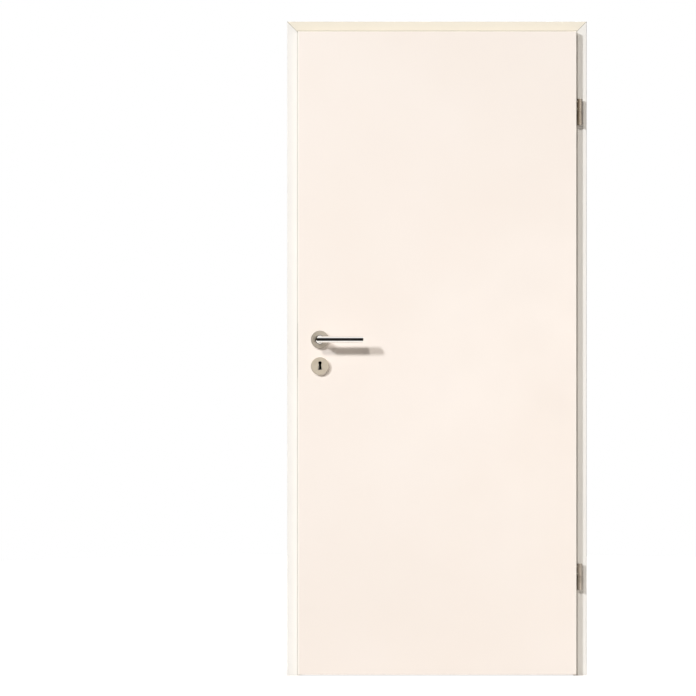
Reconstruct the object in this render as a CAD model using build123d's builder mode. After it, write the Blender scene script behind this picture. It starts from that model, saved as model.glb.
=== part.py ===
from build123d import *
import os

# Leaf
leaf_width = 860.0
leaf_height = 1985.0
leaf_thickness = 40.0
lip_width = 13.0
lip_thickness = 15.0
skin_thickness = 3.2
band_thickness = 1.0
stile_width = 38.0
top_rail_width = 38.0
bottom_rail_width = 60.0
lock_block_width = 80.0
lock_block_height = 240.0
leaf_edge_round = 2.0

# Gaps round the closed leaf
floor_gap = 5.0
lip_gap = 5.0
hinge_side_gap = 5.0
lock_side_gap = 6.0
head_gap = 5.0
seal_gap = 5.0

# Frame
wall_thickness = 140.0
architrave_width = 41.0
architrave_thickness = 16.0
architrave_round = 2.0
lining_thickness = 22.0
stop_step = 15.0
stop_round = 1.5
tongue_thickness = 3.0
tongue_length = 8.0
tongue_offset = 3.5
tongue_clearance = 0.2
rear_architrave_width = 53.0
rear_reveal = 3.0
rear_tongue_thickness = 6.0
rear_tongue_length = 22.0
rear_tongue_offset = 4.0
rear_relief_edge = 1.5

# Seal
seal_groove_width = 3.0
seal_groove_depth = 6.0
seal_groove_offset = 5.0
seal_foot_clearance = 0.5
seal_bulb_width = 8.0
seal_bulb_round = 2.0
seat_clearance = 0.3

# Hinges
hinge_axis_out = 10.5
hinge_axis_front = 13.0
hinge_drop = 248.5
hinge_rise = 301.5
barrel_diameter = 16.0
barrel_half_length = 40.0
barrel_split = 1.0
barrel_end_wall = 9.0
pin_diameter = 8.0
pin_clearance = 0.1
hinge_tongue_thickness = 4.0
hinge_tongue_height = 30.0
hinge_slot_wall = 2.7
peg_diameter = 7.0
peg_spacing = 22.0
peg_grip = 19.0
peg_clearance = 0.15

# Lock
backset = 55.0
lever_height = 1034.0
key_drop = 72.0
case_height = 165.0
case_above_lever = 48.0
case_length = 85.0
case_thickness = 15.0
case_clearance = 0.3
forend_height = 235.0
forend_width = 20.0
forend_thickness = 3.0
follower_bore_diameter = 13.0
latch_width = 10.0
latch_height = 30.0
latch_stand_out = 3.0
latch_length = 40.0
dead_bolt_width = 8.0
dead_bolt_height = 35.0
dead_bolt_length = 36.0
bolt_clearance = 0.3

# Strike plate
strike_height = 170.0
strike_depth = 23.0
strike_front_leg = 8.0
strike_thickness = 1.5
strike_hole_margin = 1.0
strike_corner_round = 1.0
strike_pocket_depth = 15.0

# Handles
rose_diameter = 55.0
rose_thickness = 9.0
rose_recess_gap = 1.6
rose_recess_depth = 3.5
neck_diameter = 25.0
neck_clearance = 0.3
neck_seat = 3.0
bar_diameter = 20.0
bar_stand_off = 52.0
bar_reach = 134.0
bar_tip_chamfer = 1.2
neck_length = 13.0
neck_shoulder = 2.3
spindle_size = 8.0
spindle_chamfer = 0.8
spindle_clearance = 0.15
spindle_grip = 24.0
spindle_bore_diameter = 20.0
keyhole_round_diameter = 10.5
keyhole_neck_width = 6.0
keyhole_slot_width = 12.0
keyhole_slot_drop = 21.0
key_rose_drop = 10.0

# Reference planes of the frame, seen from the opening side
lining_outer_offset = lining_thickness - stop_step
hinge_cheek_x = -lining_outer_offset
leaf_hinge_edge_x = hinge_cheek_x - hinge_side_gap + lip_width
leaf_lock_edge_x = leaf_hinge_edge_x - leaf_width
lock_cheek_x = leaf_lock_edge_x + lip_width - lock_side_gap
wall_front_y = -wall_thickness / 2
wall_rear_y = wall_thickness / 2
frame_front_y = wall_front_y - architrave_thickness
leaf_front_y = frame_front_y - lip_gap - lip_thickness
leaf_rear_y = leaf_front_y + leaf_thickness
leaf_bottom_z = floor_gap
leaf_top_z = leaf_bottom_z + leaf_height
head_cheek_z = leaf_top_z - lip_width + head_gap
frame_top_z = head_cheek_z + architrave_width
stop_depth = leaf_rear_y + seal_gap - frame_front_y
lining_rear_depth = wall_rear_y - frame_front_y

# Reference planes of the leaf
hinge_rebate_x = leaf_hinge_edge_x - lip_width
lock_rebate_x = leaf_lock_edge_x + lip_width
top_rebate_z = leaf_top_z - lip_width
hinge_axis_x = leaf_hinge_edge_x + hinge_axis_out
hinge_axis_y = frame_front_y - hinge_axis_front
hinge_tongue_depth = architrave_thickness - hinge_slot_wall
peg_depth = lip_width + peg_grip
pin_length = 2 * (barrel_half_length - barrel_end_wall) + barrel_split
lever_x = lock_rebate_x + backset
lever_z = leaf_bottom_z + lever_height
key_z = lever_z - key_drop
lock_y = leaf_front_y + (lip_thickness + leaf_thickness) / 2
case_top_z = lever_z + case_above_lever
case_bottom_z = case_top_z - case_height
forend_centre_z = (case_top_z + case_bottom_z) / 2

sides = ("hinge_side", "lock_side", "head")


def frame_plane(side):
    # Local x points away from the doorway, local y into the wall, and the bar runs along local z.
    if side == "hinge_side":
        return Plane(origin=(hinge_cheek_x, frame_front_y, 0), x_dir=(1, 0, 0), z_dir=(0, 0, 1))
    if side == "lock_side":
        return Plane(
            origin=(lock_cheek_x, frame_front_y, frame_top_z), x_dir=(-1, 0, 0), z_dir=(0, 0, -1)
        )
    right_end = hinge_cheek_x + architrave_width
    return Plane(origin=(right_end, frame_front_y, head_cheek_z), x_dir=(0, 0, 1), z_dir=(-1, 0, 0))


def leaf_plane(side):
    # Local x points outwards from the rebated edge, local y from the leaf's front to its back.
    if side == "hinge_side":
        return Plane(
            origin=(hinge_rebate_x, leaf_front_y, leaf_bottom_z), x_dir=(1, 0, 0), z_dir=(0, 0, 1)
        )
    if side == "lock_side":
        return Plane(
            origin=(lock_rebate_x, leaf_front_y, leaf_top_z), x_dir=(-1, 0, 0), z_dir=(0, 0, -1)
        )
    return Plane(
        origin=(leaf_hinge_edge_x, leaf_front_y, top_rebate_z), x_dir=(0, 0, 1), z_dir=(-1, 0, 0)
    )


def mitre_planes(hinge_x, lock_x, z):
    # The normals point to the head's side of each mitre.
    at_hinges = Plane(origin=(hinge_x, 0, z), x_dir=(0, 1, 0), z_dir=(-1, 0, 1))
    at_lock = Plane(origin=(lock_x, 0, z), x_dir=(0, 1, 0), z_dir=(1, 0, 1))
    return at_hinges, at_lock


def mitred_bar(side, section_plane, run, outline, rounds, mitres):
    with BuildPart() as bar:
        with BuildSketch(section_plane):
            with BuildLine():
                Polyline(*outline, close=True)
            make_face()
        extrude(amount=run)
        for point, radius in rounds:
            corner = section_plane.from_local_coords((point[0], point[1], run / 2))
            edge = bar.edges().sort_by_distance(corner)[0]
            fillet(edge, radius=radius)
        if side == "hinge_side":
            split(bisect_by=mitres[0], keep=Keep.BOTTOM)
        if side == "lock_side":
            split(bisect_by=mitres[1], keep=Keep.BOTTOM)
        if side == "head":
            split(bisect_by=mitres[0], keep=Keep.TOP)
            split(bisect_by=mitres[1], keep=Keep.TOP)
    return bar


def frame_bar(side, outline, rounds=()):
    run = frame_top_z
    if side == "head":
        run = hinge_cheek_x - lock_cheek_x + 2 * architrave_width
    mitres = mitre_planes(hinge_cheek_x, lock_cheek_x, head_cheek_z)
    return mitred_bar(side, frame_plane(side), run, outline, rounds, mitres)


def leaf_bar(side, outline, rounds=()):
    run = leaf_height
    if side == "head":
        run = leaf_width
    mitres = mitre_planes(hinge_rebate_x, lock_rebate_x, top_rebate_z)
    return mitred_bar(side, leaf_plane(side), run, outline, rounds, mitres)


def finish(part, name):
    part.label = name
    export_step(part, f"parts/{name}.step")


def hinge_split_z(upper):
    if upper:
        return leaf_top_z - hinge_drop
    return leaf_bottom_z + hinge_rise


# Front architrave: a face board with a leg that forms the rebate cheek and a tongue for the lining
def architrave_outline():
    tongue_low = tongue_offset - tongue_thickness / 2
    tongue_high = tongue_offset + tongue_thickness / 2
    return (
        (0, 0),
        (architrave_width, 0),
        (architrave_width, architrave_thickness),
        (lining_outer_offset, architrave_thickness),
        (lining_outer_offset, stop_depth),
        (tongue_high, stop_depth),
        (tongue_high, stop_depth + tongue_length),
        (tongue_low, stop_depth + tongue_length),
        (tongue_low, stop_depth),
        (0, stop_depth),
    )


def cut_hinge_slots(board):
    for upper in (True, False):
        centre_z = hinge_split_z(upper) - (barrel_split + barrel_half_length) / 2
        with BuildPart() as slot:
            with BuildSketch(Plane.XZ.offset(-frame_front_y)):
                with Locations((hinge_axis_x, centre_z)):
                    Rectangle(
                        hinge_tongue_thickness + 2 * peg_clearance,
                        hinge_tongue_height + 2 * peg_clearance,
                    )
            extrude(amount=-(hinge_tongue_depth + seat_clearance))
        board = board - slot.part
    return board


def strike_recess():
    with BuildPart() as recess:
        with BuildSketch(Plane.XY.offset(forend_centre_z - strike_height / 2)):
            with BuildLine():
                Polyline(*strike_outline(), close=True)
            make_face()
        extrude(amount=strike_height)
    return recess.part


def bolt_pocket(centre_z, height, width):
    with BuildPart() as pocket:
        with BuildSketch(Plane.YZ.offset(lock_cheek_x)):
            with Locations((lock_y, centre_z)):
                Rectangle(width + 2 * strike_hole_margin, height + 2 * strike_hole_margin)
        extrude(amount=-strike_pocket_depth)
    return pocket.part


def build_architraves():
    outline = architrave_outline()
    rounds = (((architrave_width, 0), architrave_round), ((0, 0), stop_round))
    for side in sides:
        board = frame_bar(side, outline, rounds).part
        if side == "hinge_side":
            board = cut_hinge_slots(board)
        if side == "lock_side":
            board = board - strike_recess()
            board = board - bolt_pocket(lever_z, latch_height, latch_width)
            board = board - bolt_pocket(key_z, dead_bolt_height, dead_bolt_width)
        finish(board, f"architrave_{side}")


# Lining: a board through the wall, grooved for the architraves and the seal
def build_linings():
    front_groove = tongue_thickness / 2 + tongue_clearance
    front_groove_bottom = stop_depth + tongue_length + seat_clearance
    seal_low = -seal_groove_offset - seal_groove_width / 2
    seal_high = -seal_groove_offset + seal_groove_width / 2
    rear_groove = rear_tongue_thickness / 2 + tongue_clearance
    rear_groove_bottom = lining_rear_depth - rear_tongue_length - seat_clearance
    outline = (
        (-stop_step, stop_depth),
        (seal_low, stop_depth),
        (seal_low, stop_depth + seal_groove_depth),
        (seal_high, stop_depth + seal_groove_depth),
        (seal_high, stop_depth),
        (tongue_offset - front_groove, stop_depth),
        (tongue_offset - front_groove, front_groove_bottom),
        (tongue_offset + front_groove, front_groove_bottom),
        (tongue_offset + front_groove, stop_depth),
        (lining_outer_offset, stop_depth),
        (lining_outer_offset, lining_rear_depth),
        (-rear_tongue_offset + rear_groove, lining_rear_depth),
        (-rear_tongue_offset + rear_groove, rear_groove_bottom),
        (-rear_tongue_offset - rear_groove, rear_groove_bottom),
        (-rear_tongue_offset - rear_groove, lining_rear_depth),
        (-stop_step, lining_rear_depth),
    )
    for side in sides:
        board = frame_bar(side, outline, (((-stop_step, stop_depth), stop_round),)).part
        finish(board, f"lining_{side}")


# Rear architrave: the same mitred casing with a long tongue that slides in the lining
def build_rear_architraves():
    inner = -stop_step + rear_reveal
    outer = inner + rear_architrave_width
    tongue_low = -rear_tongue_offset - rear_tongue_thickness / 2
    tongue_high = -rear_tongue_offset + rear_tongue_thickness / 2
    tongue_end = lining_rear_depth - rear_tongue_length
    rear_face = lining_rear_depth + architrave_thickness
    relief_depth = lining_rear_depth + seat_clearance
    relief_edge = lining_outer_offset + rear_relief_edge
    outline = (
        (inner, relief_depth),
        (tongue_low, relief_depth),
        (tongue_low, tongue_end),
        (tongue_high, tongue_end),
        (tongue_high, relief_depth),
        (relief_edge, relief_depth),
        (relief_edge, lining_rear_depth),
        (outer, lining_rear_depth),
        (outer, rear_face),
        (inner, rear_face),
    )
    rounds = (((outer, rear_face), architrave_round), ((inner, rear_face), architrave_round))
    for side in sides:
        board = frame_bar(side, outline, rounds).part
        finish(board, f"rear_architrave_{side}")


# Seal: a foot in the groove and a bulb that the closed leaf meets
def build_seals():
    foot_low = -seal_groove_offset - seal_groove_width / 2 + tongue_clearance
    foot_high = -seal_groove_offset + seal_groove_width / 2 - tongue_clearance
    bulb_low = -seat_clearance - seal_bulb_width
    bulb_front = stop_depth - seal_gap + seat_clearance
    foot_end = stop_depth + seal_groove_depth - seal_foot_clearance
    outline = (
        (bulb_low, bulb_front),
        (-seat_clearance, bulb_front),
        (-seat_clearance, stop_depth),
        (foot_high, stop_depth),
        (foot_high, foot_end),
        (foot_low, foot_end),
        (foot_low, stop_depth),
        (bulb_low, stop_depth),
    )
    rounds = (((bulb_low, bulb_front), seal_bulb_round), ((-seat_clearance, bulb_front), seal_bulb_round))
    for side in sides:
        strip = frame_bar(side, outline, rounds).part
        finish(strip, f"seal_{side}")


# Strike plate: an angle let flush into the lock-side cheek and the architrave's face
def strike_outline():
    return (
        (lock_cheek_x - strike_front_leg, frame_front_y),
        (lock_cheek_x, frame_front_y),
        (lock_cheek_x, frame_front_y + strike_depth),
        (lock_cheek_x - strike_thickness, frame_front_y + strike_depth),
        (lock_cheek_x - strike_thickness, frame_front_y + strike_thickness),
        (lock_cheek_x - strike_front_leg, frame_front_y + strike_thickness),
    )


def build_strike_plate():
    with BuildPart() as plate:
        with BuildSketch(Plane.XY.offset(forend_centre_z - strike_height / 2)):
            with BuildLine():
                Polyline(*strike_outline(), close=True)
            make_face()
        extrude(amount=strike_height)
        corner = (lock_cheek_x, frame_front_y, forend_centre_z)
        fillet(plate.edges().filter_by(Axis.Z).sort_by_distance(corner)[0], radius=strike_corner_round)
        for centre_z, height, width, length in bolt_sizes():
            with BuildSketch(Plane.YZ.offset(lock_cheek_x)):
                with Locations((lock_y, centre_z)):
                    Rectangle(width + 2 * strike_hole_margin, height + 2 * strike_hole_margin)
            extrude(amount=-2 * strike_thickness, mode=Mode.SUBTRACT)
    finish(plate.part, "strike_plate")


# Hinges: a lower half with a tongue for the frame, an upper half with pegs for the leaf, and a pin
def build_hinges():
    axis_plane = Plane(origin=(hinge_axis_x, hinge_axis_y, 0))
    bore_radius = pin_diameter / 2 + pin_clearance
    for place, upper in (("upper", True), ("lower", False)):
        split_z = hinge_split_z(upper)
        low_z = split_z - barrel_split / 2 - barrel_half_length
        high_z = split_z + barrel_split / 2
        with BuildPart() as frame_half:
            with BuildSketch(axis_plane.offset(low_z)):
                Circle(barrel_diameter / 2)
            extrude(amount=barrel_half_length)
            with BuildSketch(Plane.XZ.offset(-hinge_axis_y)):
                with Locations((hinge_axis_x, low_z + barrel_half_length / 2)):
                    Rectangle(hinge_tongue_thickness, hinge_tongue_height)
            extrude(amount=-(hinge_axis_front + hinge_tongue_depth))
            with BuildSketch(axis_plane.offset(split_z - pin_length / 2)):
                Circle(pin_diameter / 2)
            extrude(amount=pin_length, mode=Mode.SUBTRACT)
        finish(frame_half.part, f"{place}_hinge_frame_part")

        with BuildPart() as leaf_half:
            with BuildSketch(axis_plane.offset(high_z)):
                Circle(barrel_diameter / 2)
            extrude(amount=barrel_half_length)
            with BuildSketch(Plane.YZ.offset(hinge_axis_x)):
                with Locations((hinge_axis_y, high_z + barrel_half_length / 2)):
                    with GridLocations(0, peg_spacing, 1, 2):
                        Circle(peg_diameter / 2)
            extrude(amount=-(hinge_axis_out + peg_depth))
            with BuildSketch(axis_plane.offset(split_z - pin_length / 2)):
                Circle(bore_radius)
            extrude(amount=pin_length, mode=Mode.SUBTRACT)
        finish(leaf_half.part, f"{place}_hinge_leaf_part")

        with BuildPart() as pin:
            with BuildSketch(axis_plane.offset(split_z - pin_length / 2)):
                Circle(pin_diameter / 2)
            extrude(amount=pin_length - seat_clearance)
        finish(pin.part, f"{place}_hinge_pin")


def hinge_peg_holes():
    with BuildPart() as holes:
        for upper in (True, False):
            centre_z = hinge_split_z(upper) + (barrel_split + barrel_half_length) / 2
            with BuildSketch(Plane.YZ.offset(leaf_hinge_edge_x)):
                with Locations((hinge_axis_y, centre_z)):
                    with GridLocations(0, peg_spacing, 1, 2):
                        Circle(peg_diameter / 2 + peg_clearance)
            extrude(amount=-(peg_depth + seat_clearance))
    return holes.part


# Openings in the leaf for the lock case, the forend, the spindle and the key
def lock_pocket():
    with BuildPart() as pocket:
        with BuildSketch(Plane.YZ.offset(lock_rebate_x)):
            with Locations((lock_y, forend_centre_z)):
                SlotOverall(
                    forend_height + 2 * case_clearance, forend_width + 2 * case_clearance, rotation=90
                )
        extrude(amount=forend_thickness + case_clearance)
        with BuildSketch(Plane.YZ.offset(lock_rebate_x)):
            with Locations((lock_y, forend_centre_z)):
                Rectangle(case_thickness + 2 * case_clearance, case_height + 2 * case_clearance)
        extrude(amount=forend_thickness + case_length + case_clearance)
    return pocket.part


def handle_bores():
    with BuildPart() as bores:
        with BuildSketch(Plane.XZ.offset(-leaf_front_y)):
            with Locations((lever_x, lever_z)):
                Circle(spindle_bore_diameter / 2)
        extrude(amount=-leaf_thickness)
        with BuildSketch(Plane.XZ.offset(-leaf_front_y)):
            with Locations((lever_x, key_z - key_rose_drop)):
                Rectangle(2 * keyhole_slot_width, 2 * keyhole_slot_drop)
        extrude(amount=-leaf_thickness)
    return bores.part


# Leaf: two skins on a rebated timber frame and a core, with bands on the edges
def build_leaf():
    inner_front = skin_thickness
    inner_rear = leaf_thickness - skin_thickness
    pocket = lock_pocket()
    bores = handle_bores()
    peg_holes = hinge_peg_holes()

    front_centre_x = (leaf_hinge_edge_x + leaf_lock_edge_x) / 2
    with BuildPart() as front_skin:
        with BuildSketch(Plane.XZ.offset(-leaf_front_y)):
            with Locations((front_centre_x, leaf_bottom_z + leaf_height / 2)):
                Rectangle(leaf_width, leaf_height)
        extrude(amount=-skin_thickness)
        outer_edges = front_skin.faces().sort_by(Axis.Y)[0].edges().sort_by(Axis.Z)[1:]
        fillet(outer_edges, radius=leaf_edge_round)
    finish(front_skin.part - bores, "leaf_front_skin")

    body_width = hinge_rebate_x - lock_rebate_x
    body_height = top_rebate_z - leaf_bottom_z
    rear_centre_x = (hinge_rebate_x + lock_rebate_x) / 2
    with BuildPart() as rear_skin:
        with BuildSketch(Plane.XZ.offset(-(leaf_rear_y - skin_thickness))):
            with Locations((rear_centre_x, leaf_bottom_z + body_height / 2)):
                Rectangle(body_width, body_height)
        extrude(amount=-skin_thickness)
    finish(rear_skin.part - bores - pocket, "leaf_rear_skin")

    band = band_thickness
    band_outline = (
        (lip_width - band, inner_front),
        (lip_width, inner_front),
        (lip_width, lip_thickness),
        (0, lip_thickness),
        (0, inner_rear),
        (-band, inner_rear),
        (-band, lip_thickness - band),
        (lip_width - band, lip_thickness - band),
    )
    stile_outline = (
        (-stile_width, inner_front),
        (lip_width - band, inner_front),
        (lip_width - band, lip_thickness - band),
        (-band, lip_thickness - band),
        (-band, inner_rear),
        (-stile_width, inner_rear),
    )
    rail_outline = (
        (-top_rail_width, inner_front),
        (lip_width - band, inner_front),
        (lip_width - band, lip_thickness - band),
        (-band, lip_thickness - band),
        (-band, inner_rear),
        (-top_rail_width, inner_rear),
    )
    for side, name in (("hinge_side", "hinge_side"), ("lock_side", "lock_side"), ("head", "top")):
        strip = leaf_bar(side, band_outline).part
        if side == "hinge_side":
            strip = strip - peg_holes
        if side == "lock_side":
            strip = strip - pocket
        finish(strip, f"leaf_edge_band_{name}")
    finish(leaf_bar("hinge_side", stile_outline).part - peg_holes, "leaf_hinge_stile")
    finish(leaf_bar("lock_side", stile_outline).part - pocket, "leaf_lock_stile")
    finish(leaf_bar("head", rail_outline).part, "leaf_top_rail")

    core_width = body_width - 2 * stile_width
    with BuildPart() as bottom_rail:
        with BuildSketch(Plane.XZ.offset(-(leaf_front_y + inner_front))):
            with Locations((rear_centre_x, leaf_bottom_z + bottom_rail_width / 2)):
                Rectangle(core_width, bottom_rail_width)
        extrude(amount=-(inner_rear - inner_front))
    finish(bottom_rail.part, "leaf_bottom_rail")

    block_x = lock_rebate_x + stile_width + lock_block_width / 2
    with BuildPart() as block:
        with BuildSketch(Plane.XZ.offset(-(leaf_front_y + inner_front))):
            with Locations((block_x, forend_centre_z)):
                Rectangle(lock_block_width, lock_block_height)
        extrude(amount=-(inner_rear - inner_front))
    finish(block.part - pocket - bores, "leaf_lock_block")

    core_height = body_height - bottom_rail_width - top_rail_width
    core_centre_z = leaf_bottom_z + bottom_rail_width + core_height / 2
    with BuildPart() as core:
        with BuildSketch(Plane.XZ.offset(-(leaf_front_y + inner_front))):
            with Locations((rear_centre_x, core_centre_z)):
                Rectangle(core_width, core_height)
        extrude(amount=-(inner_rear - inner_front))
    finish(core.part - block.part, "leaf_core")


# Lock: case, forend, latch and dead bolt
def build_lock():
    case_front_x = lock_rebate_x + forend_thickness
    with BuildPart() as case:
        with BuildSketch(Plane.YZ.offset(case_front_x)):
            with Locations((lock_y, forend_centre_z)):
                Rectangle(case_thickness, case_height)
        extrude(amount=case_length)
        with BuildSketch(Plane.XZ.offset(-(lock_y - case_thickness))):
            with Locations((lever_x, lever_z)):
                Circle(follower_bore_diameter / 2)
            with Locations((lever_x, key_z)):
                Circle(keyhole_round_diameter / 2)
            with Locations((lever_x, key_z - keyhole_slot_drop / 2)):
                Rectangle(keyhole_neck_width, keyhole_slot_drop)
        extrude(amount=-2 * case_thickness, mode=Mode.SUBTRACT)
        for centre_z, height, width, length in bolt_sizes():
            with BuildSketch(Plane.YZ.offset(case_front_x)):
                with Locations((lock_y, centre_z)):
                    Rectangle(width + 2 * bolt_clearance, height + 2 * bolt_clearance)
            extrude(amount=length, mode=Mode.SUBTRACT)
    finish(case.part, "lock_case")

    with BuildPart() as forend:
        with BuildSketch(Plane.YZ.offset(lock_rebate_x)):
            with Locations((lock_y, forend_centre_z)):
                SlotOverall(forend_height, forend_width, rotation=90)
            for centre_z, height, width, length in bolt_sizes():
                with Locations((lock_y, centre_z)):
                    Rectangle(
                        width + 2 * bolt_clearance, height + 2 * bolt_clearance, mode=Mode.SUBTRACT
                    )
        extrude(amount=forend_thickness)
    finish(forend.part, "lock_forend")

    with BuildPart() as latch:
        with BuildSketch(Plane.XY.offset(lever_z - latch_height / 2)):
            with BuildLine():
                Polyline(
                    (lock_rebate_x, lock_y - latch_width / 2),
                    (lock_rebate_x + latch_length - bolt_clearance, lock_y - latch_width / 2),
                    (lock_rebate_x + latch_length - bolt_clearance, lock_y + latch_width / 2),
                    (lock_rebate_x, lock_y + latch_width / 2),
                    (lock_rebate_x - latch_stand_out, lock_y - latch_width / 2 + latch_stand_out),
                    (lock_rebate_x - latch_stand_out, lock_y - latch_width / 2),
                    close=True,
                )
            make_face()
        extrude(amount=latch_height)
    finish(latch.part, "latch_bolt")

    with BuildPart() as dead_bolt:
        with BuildSketch(Plane.YZ.offset(lock_rebate_x)):
            with Locations((lock_y, key_z)):
                Rectangle(dead_bolt_width, dead_bolt_height)
        extrude(amount=dead_bolt_length - bolt_clearance)
    finish(dead_bolt.part, "dead_bolt")


def bolt_sizes():
    return (
        (lever_z, latch_height, latch_width, latch_length),
        (key_z, dead_bolt_height, dead_bolt_width, dead_bolt_length),
    )


# Roses and levers on both faces; outward is -1 on the front and 1 on the rear
def face_plane(face_y, outward, x, z):
    return Plane(origin=(x, face_y, z), x_dir=(-outward, 0, 0), z_dir=(0, outward, 0))


def build_lever_rose(place, face_y, outward):
    with BuildPart() as rose:
        with BuildSketch(face_plane(face_y, outward, lever_x, lever_z)):
            Circle(rose_diameter / 2)
            Circle(neck_diameter / 2 + neck_clearance, mode=Mode.SUBTRACT)
        extrude(amount=rose_thickness)
        front_y = face_y + outward * rose_thickness
        with BuildSketch(face_plane(front_y, outward, lever_x, lever_z)):
            Circle(neck_diameter / 2 + rose_recess_gap)
        extrude(amount=-rose_recess_depth, mode=Mode.SUBTRACT)
    finish(rose.part, f"{place}_lever_rose")


def build_key_rose(place, face_y, outward):
    with BuildPart() as rose:
        with BuildSketch(face_plane(face_y, outward, lever_x, key_z - key_rose_drop)):
            Circle(rose_diameter / 2)
        extrude(amount=rose_thickness)
        with BuildSketch(face_plane(face_y, outward, lever_x, key_z)):
            Circle(keyhole_round_diameter / 2)
            with BuildLine():
                Polyline(
                    (-keyhole_neck_width / 2, 0),
                    (keyhole_neck_width / 2, 0),
                    (keyhole_slot_width / 2, -keyhole_slot_drop),
                    (-keyhole_slot_width / 2, -keyhole_slot_drop),
                    close=True,
                )
            make_face()
        extrude(amount=rose_thickness, mode=Mode.SUBTRACT)
    finish(rose.part, f"{place}_key_rose")


# Lever: a round bar bent square at a mitre, with a thicker neck that turns in the rose
def build_lever(place, face_y, outward):
    base_y = face_y + outward * neck_seat
    axis_y = face_y + outward * bar_stand_off
    tip_x = lever_x + bar_reach
    socket_size = spindle_size + 2 * spindle_clearance
    with BuildPart() as lever:
        with BuildLine():
            Polyline((lever_x, base_y, lever_z), (lever_x, axis_y, lever_z), (tip_x, axis_y, lever_z))
        with BuildSketch(face_plane(base_y, outward, lever_x, lever_z)):
            Circle(bar_diameter / 2)
        sweep(transition=Transition.RIGHT)
        tip = lever.edges().filter_by(GeomType.CIRCLE).sort_by(Axis.X)[-1]
        chamfer(tip, length=bar_tip_chamfer)
        with BuildSketch(face_plane(base_y, outward, lever_x, lever_z)):
            Circle(neck_diameter / 2)
        extrude(amount=neck_length)
        shoulder = lever.edges().filter_by(GeomType.CIRCLE).sort_by_distance(
            (lever_x + neck_diameter / 2, base_y + outward * neck_length, lever_z)
        )
        chamfer(shoulder[0], length=neck_shoulder)
        with BuildSketch(face_plane(base_y, outward, lever_x, lever_z)):
            Rectangle(socket_size, socket_size)
        extrude(amount=spindle_grip + seat_clearance, mode=Mode.SUBTRACT)
    finish(lever.part, f"{place}_lever")


def build_spindle():
    start_y = leaf_front_y - neck_seat - spindle_grip
    end_y = leaf_rear_y + neck_seat + spindle_grip
    with BuildPart() as spindle:
        with BuildSketch(face_plane(start_y, 1, lever_x, lever_z)):
            Rectangle(spindle_size, spindle_size)
        extrude(amount=end_y - start_y)
        chamfer(spindle.edges().filter_by(Axis.Y), length=spindle_chamfer)
    finish(spindle.part, "spindle")


os.makedirs("parts", exist_ok=True)
build_architraves()
build_linings()
build_rear_architraves()
build_seals()
build_strike_plate()
build_hinges()
build_leaf()
build_lock()
for place, face_y, outward in (("front", leaf_front_y, -1), ("rear", leaf_rear_y, 1)):
    build_lever_rose(place, face_y, outward)
    build_key_rose(place, face_y, outward)
    build_lever(place, face_y, outward)
build_spindle()
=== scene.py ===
import math

import bmesh
import bpy
from mathutils import Matrix, Vector


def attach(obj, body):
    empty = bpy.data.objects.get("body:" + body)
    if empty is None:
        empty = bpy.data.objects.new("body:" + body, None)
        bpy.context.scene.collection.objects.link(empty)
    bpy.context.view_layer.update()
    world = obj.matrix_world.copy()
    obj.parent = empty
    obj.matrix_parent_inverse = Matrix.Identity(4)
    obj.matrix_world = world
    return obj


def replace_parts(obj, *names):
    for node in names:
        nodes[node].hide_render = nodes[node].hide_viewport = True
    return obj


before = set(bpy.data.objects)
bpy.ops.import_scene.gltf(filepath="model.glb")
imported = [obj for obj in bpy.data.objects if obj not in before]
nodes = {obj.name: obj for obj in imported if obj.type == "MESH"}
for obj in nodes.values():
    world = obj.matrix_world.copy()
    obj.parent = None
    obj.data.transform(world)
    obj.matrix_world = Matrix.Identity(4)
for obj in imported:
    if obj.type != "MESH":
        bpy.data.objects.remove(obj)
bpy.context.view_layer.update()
print("door set loaded:", len(nodes), "nodes")

mm = 0.001
black = (0, 0, 0, 1)
white = (1, 1, 1, 1)
mathNode = "ShaderNodeMath"
vectorNode = "ShaderNodeVectorMath"
rangeNode = "ShaderNodeMapRange"
noiseNode = "ShaderNodeTexNoise"
rampNode = "ShaderNodeValToRGB"
mixNode = "ShaderNodeMix"
mappingNode = "ShaderNodeMapping"
bumpNode = "ShaderNodeBump"

# places on the door set, as in the frame: x is 0 at the wall beside the hinges, z is 0 at the floor
door = {
    "roseX": -791 * mm,
    "leverZ": 1039 * mm,
    "keyZ": 957 * mm,
    "hingeAxis": (11.5 * mm, -99 * mm),
    "leafMiddleX": -429 * mm,
    "leafHalfWidth": 430 * mm,
}


# Nodes and colours

def linearColour(hexColour):
    # sRGB hex to the linear values that the sockets take
    channels = [int(hexColour[start:start + 2], 16) / 255 for start in (1, 3, 5)]
    linear = [c / 12.92 if c <= 0.04045 else ((c + 0.055) / 1.055) ** 2.4 for c in channels]
    return (*linear, 1.0)


def fillSockets(tree, node, inputs):
    # a socket gets a value, or a link from another node's output
    for socket, value in inputs.items():
        if isinstance(value, bpy.types.NodeSocket):
            tree.links.new(value, node.inputs[socket])
        else:
            node.inputs[socket].default_value = value


def addNode(tree, kind, inputs=None, stops=(), **settings):
    # adds a node and gives back its outputs; stops are the (position, sRGB hex) pairs of a colour ramp
    node = tree.nodes.new(kind)
    for setting, value in settings.items():
        setattr(node, setting, value)
    fillSockets(tree, node, inputs or {})
    for position, hexColour in stops[2:]:
        node.color_ramp.elements.new(position)
    for number, (position, hexColour) in enumerate(stops):
        node.color_ramp.elements[number].position = position
        node.color_ramp.elements[number].color = linearColour(hexColour)
    return node.outputs


def startMaterial(name):
    # gives back the material, its tree, its shader and the object coordinates
    material = bpy.data.materials.new(name)
    material.use_nodes = True
    tree = material.node_tree
    place = addNode(tree, "ShaderNodeTexCoord")["Object"]
    return material, tree, tree.nodes["Principled BSDF"], place


def perUnit(sizes):
    # mapping scale that makes one pattern unit the given size along each axis
    return [1 / size for size in sizes]


noiseSpan = (0.3, 0.7)  # most of a noise pattern's values lie between these
cloudSpan = (0.35, 0.65)  # narrower, so that a slow drift reaches both its tones


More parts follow.
